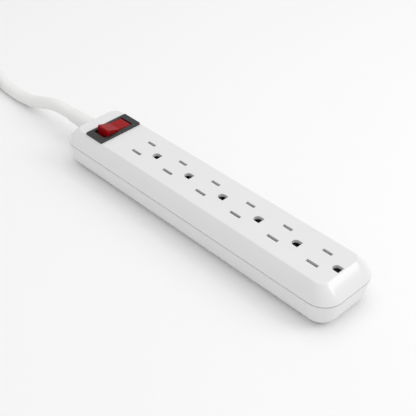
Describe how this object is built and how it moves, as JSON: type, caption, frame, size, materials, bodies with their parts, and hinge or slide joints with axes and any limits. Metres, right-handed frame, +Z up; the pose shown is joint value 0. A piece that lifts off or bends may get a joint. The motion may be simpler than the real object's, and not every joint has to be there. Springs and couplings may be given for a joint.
{
  "type": "power strip",
  "caption": "Straight white power strip with a row of three-pin outlets, a lit red rocker switch at one end, and a cord folded into a hank with its plug.",
  "frame": {"origin": "centre of the housing's underside", "axes": "+X from the switch end to the far end, +Y to the back, +Z up"},
  "size_m": [0.4982, 0.0915, 0.0323],
  "materials": {
    "housing_plastic": "smooth glossy moulded ABS",
    "switch_plastic": "satin moulded nylon",
    "rocker_plastic": "glossy translucent polycarbonate",
    "plunger_plastic": "plain acetal",
    "carrier_plastic": "plain moulded nylon",
    "contact_brass": "stamped, unpolished",
    "plated_steel": "zinc plated",
    "spring_steel": "drawn wire",
    "lamp_glass": "clear glass bulb",
    "resistor_enamel": "enamel coating",
    "cord_vinyl": "satin PVC jacket",
    "tie_plastic": "woven tie",
    "plug_vinyl": "satin moulded PVC",
    "blade_nickel": "nickel plated brass",
    "wire_black": "PVC insulation",
    "wire_white": "PVC insulation",
    "wire_green": "PVC insulation"
  },
  "bodies": {
    "housing": {"top_cover": "housing_plastic", "bottom_case": "housing_plastic", "case_screws": "plated_steel", "contact_carrier": "carrier_plastic", "line_bar": "contact_brass", "neutral_bar": "contact_brass", "earth_bar": "contact_brass", "switch_housing": "switch_plastic", "centre_terminal": "contact_brass", "switched_terminal": "contact_brass", "lamp_terminal": "contact_brass", "spade_connectors": "plated_steel", "cord_clamp": "carrier_plastic", "clamp_screws": "plated_steel", "cord_strain_relief": "cord_vinyl", "cord_jacket_end": "cord_vinyl", "power_cord": "cord_vinyl", "power_cord_hank": "cord_vinyl", "power_cord_tail": "cord_vinyl", "cord_tie": "tie_plastic", "plug_strain_relief": "plug_vinyl", "plug_body": "plug_vinyl", "plug_line_blade": "blade_nickel", "plug_neutral_blade": "blade_nickel", "plug_earth_pin": "blade_nickel", "line_feed_wire": "wire_black", "line_switched_wire": "wire_black", "neutral_wire": "wire_white", "earth_wire": "wire_green", "lamp_wire": "wire_white"},
    "rocker": {"switch_rocker": "rocker_plastic", "rocker_plunger": "plunger_plastic", "plunger_spring": "spring_steel", "indicator_lamp": "lamp_glass", "lamp_resistor": "resistor_enamel"},
    "contact_lever": {"contact_lever": "contact_brass"}
  },
  "joints": [
    {"name": "rocker_tilt", "type": "hinge", "parent": "housing", "child": "rocker", "pos_m": [-0.0853, -0.0004, 0.0225], "axis": [1, 0, 0], "range_deg": [0, 21]},
    {"name": "lever_tilt", "type": "hinge", "parent": "housing", "child": "contact_lever", "pos_m": [-0.0853, -0.0004, 0.0146], "axis": [1, 0, 0], "range_deg": [-16, 0]}
  ],
  "couplings": [
    {"joint": "lever_tilt", "follows": "rocker_tilt", "ratio": -0.76191}
  ]
}
